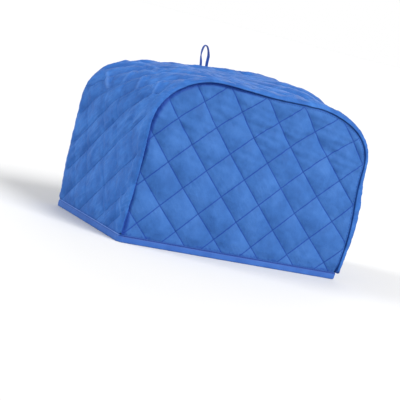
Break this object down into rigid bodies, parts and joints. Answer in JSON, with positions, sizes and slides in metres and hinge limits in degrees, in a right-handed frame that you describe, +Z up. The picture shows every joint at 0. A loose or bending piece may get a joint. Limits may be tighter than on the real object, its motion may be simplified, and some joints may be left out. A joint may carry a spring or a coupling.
{
  "type": "quilted appliance cover",
  "caption": "Quilted cloth cover with an arched front and back, a padded gusset, a bound hem that it stands on and a hanging loop.",
  "frame": {"origin": "middle of the part's box in plan, on the level that the hem stands on", "axes": "+X along the front from the left end to the right end, +Y from front to back, +Z up from the hem to the crown"},
  "size_m": [0.302, 0.1984, 0.2284],
  "materials": {
    "quilted_cloth": "satin, quilted in diamonds",
    "binding_tape": "satin",
    "loop_tape": "satin"
  },
  "bodies": {
    "root": {"front_panel": "quilted_cloth", "back_panel": "quilted_cloth", "gusset": "quilted_cloth", "hem_binding": "binding_tape", "hanging_loop": "loop_tape"}
  },
  "joints": []
}
